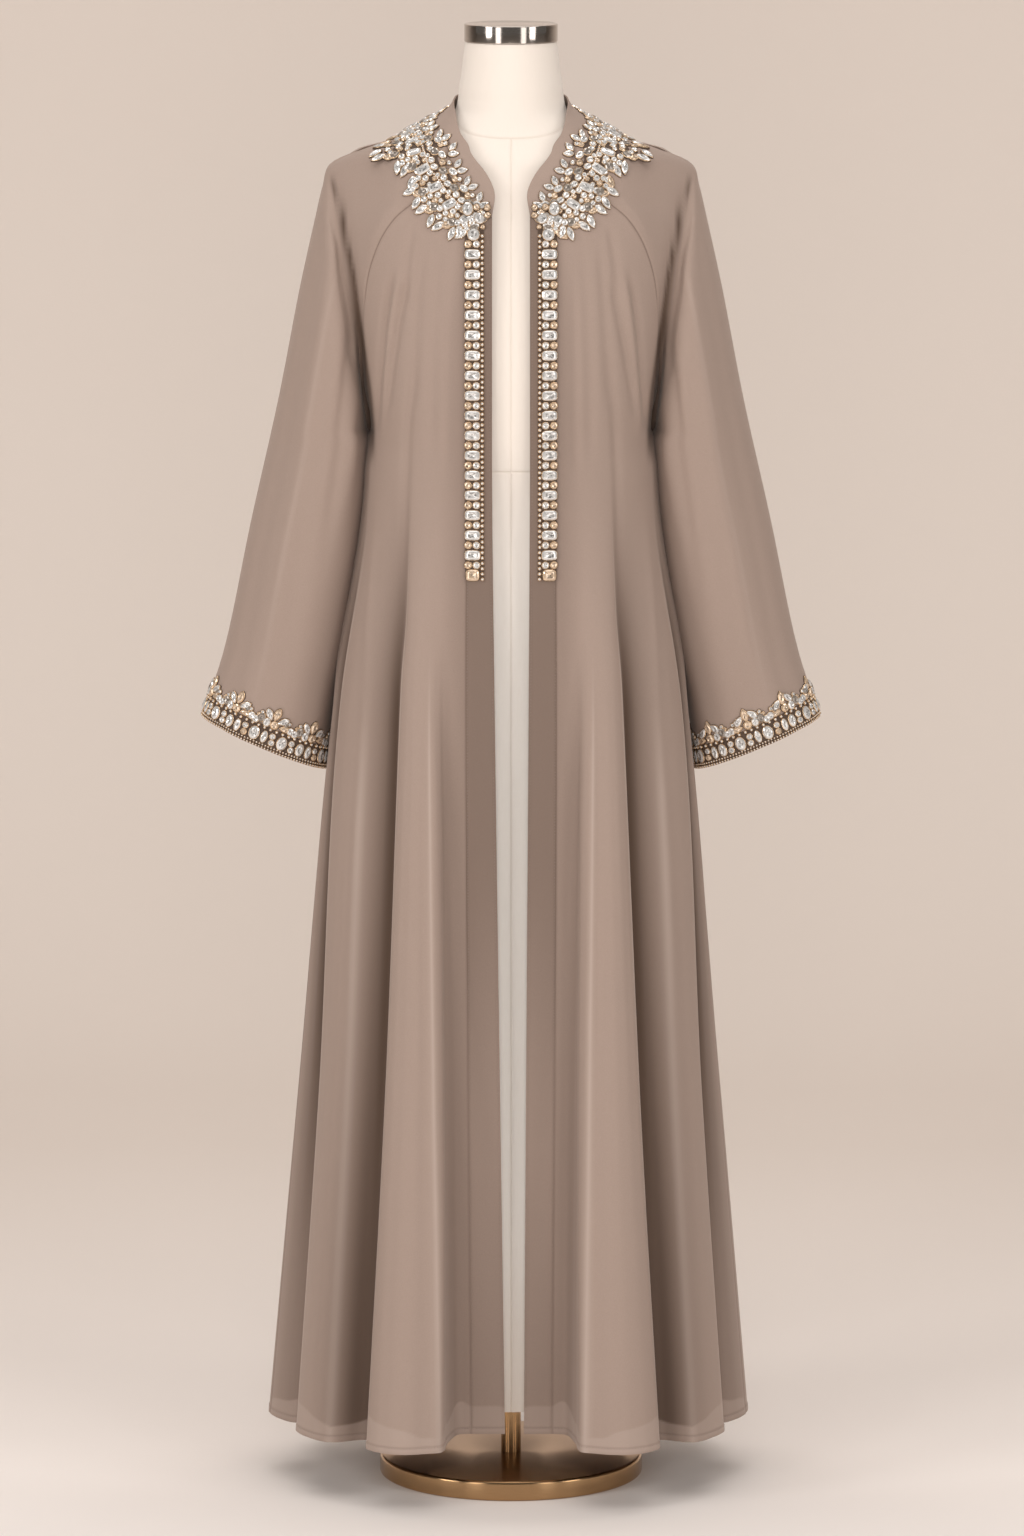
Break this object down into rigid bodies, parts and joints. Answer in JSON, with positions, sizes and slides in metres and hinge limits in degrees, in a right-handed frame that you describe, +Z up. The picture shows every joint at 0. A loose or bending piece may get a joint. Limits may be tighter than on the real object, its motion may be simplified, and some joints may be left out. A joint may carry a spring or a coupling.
{
  "type": "abaya cloak on a dress form",
  "caption": "Open-front floor-length chiffon abaya with raglan sleeves and stone-set collar, front bands and cuffs, worn by a limbless dress form on a round base",
  "frame": {"origin": "middle of the base disc's underside, on the floor", "axes": "+Z up, -Y out of the garment's open front, +X to the right of someone facing the front"},
  "size_m": [0.6848, 0.411, 1.6],
  "materials": {
    "chiffon": "matt, slightly sheer taupe chiffon",
    "stones": "foil-backed faceted stones in gold settings",
    "linen": "cream linen, plain weave",
    "polished_steel": "polished",
    "bronze": "fine-brushed, lacquered"
  },
  "bodies": {
    "root": {"front_left_inner": "chiffon", "front_left_middle": "chiffon", "front_left_outer": "chiffon", "front_left_return": "chiffon", "front_left_side": "chiffon", "front_right_inner": "chiffon", "front_right_middle": "chiffon", "front_right_outer": "chiffon", "front_right_return": "chiffon", "front_right_side": "chiffon", "back_left_side": "chiffon", "back_left_outer": "chiffon", "back_left_inner": "chiffon", "back_right_side": "chiffon", "back_right_outer": "chiffon", "back_right_inner": "chiffon", "back_centre": "chiffon", "sleeve_left": "chiffon", "sleeve_right": "chiffon", "front_band_left": "chiffon", "front_band_right": "chiffon", "neckband": "chiffon", "jewel_collar_left": "stones", "jewel_collar_right": "stones", "jewel_collar_back": "stones", "jewel_band_left": "stones", "jewel_band_right": "stones", "jewel_cuff_left": "stones", "jewel_cuff_right": "stones", "form_body": "linen", "neck_cap": "polished_steel", "pole": "bronze", "pole_flange": "bronze", "base_disc": "bronze"}
  },
  "joints": []
}
